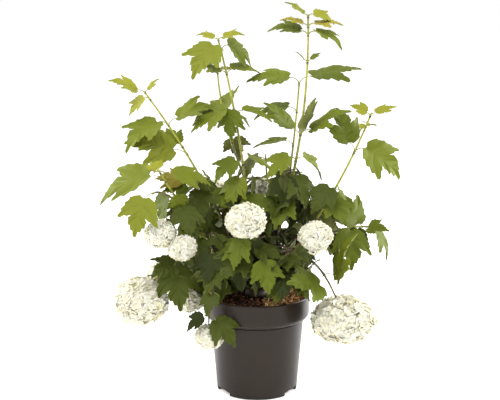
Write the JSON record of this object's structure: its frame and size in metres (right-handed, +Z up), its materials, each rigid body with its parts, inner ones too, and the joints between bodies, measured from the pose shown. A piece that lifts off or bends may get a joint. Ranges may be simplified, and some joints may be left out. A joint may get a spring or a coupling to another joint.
{
  "type": "potted snowball viburnum shrub",
  "caption": "Young open shrub in a tapered plastic pot: slender stems with opposite three-lobed leaves and ball-shaped white flower heads.",
  "frame": {"origin": "middle of the pot's flat underside", "axes": "+Z up along the pot's axis, -Y towards the viewer of the plant's front, +X to the viewer's right"},
  "size_m": [0.5287, 0.3459, 0.7023],
  "materials": {
    "pot_plastic": "dark taupe moulded plastic, smooth and slightly satin",
    "bark_mulch": "rough red-brown bark chips over dark potting soil",
    "woody_bark": "dull grey-brown young bark",
    "foliage": "leaves from yellow-green at the tips to dark green inside, satin, with cream-white flower heads"
  },
  "bodies": {
    "root": {"back_left_bough": "woody_bark", "back_left_foliage": "foliage", "back_low_left_bough": "woody_bark", "back_low_left_foliage": "foliage", "back_low_right_bough": "woody_bark", "back_low_right_foliage": "foliage", "back_middle_bough": "woody_bark", "back_middle_foliage": "foliage", "back_right_bough": "woody_bark", "back_right_foliage": "foliage", "front_bloom_bough": "woody_bark", "front_bloom_foliage": "foliage", "left_arching_bough": "woody_bark", "left_arching_foliage": "foliage", "left_high_bough": "woody_bark", "left_high_foliage": "foliage", "left_low_bough": "woody_bark", "left_low_foliage": "foliage", "left_tall_bough": "woody_bark", "left_tall_foliage": "foliage", "pot": "pot_plastic", "potting_soil": "bark_mulch", "right_arching_bough": "woody_bark", "right_arching_foliage": "foliage", "right_bloom_bough": "woody_bark", "right_bloom_foliage": "foliage", "right_high_bough": "woody_bark", "right_high_foliage": "foliage", "right_side_bough": "woody_bark", "right_side_foliage": "foliage", "right_tall_bough": "woody_bark", "right_tall_foliage": "foliage", "rim_front_bough": "woody_bark", "rim_front_foliage": "foliage", "woody_foot": "woody_bark"}
  },
  "joints": []
}
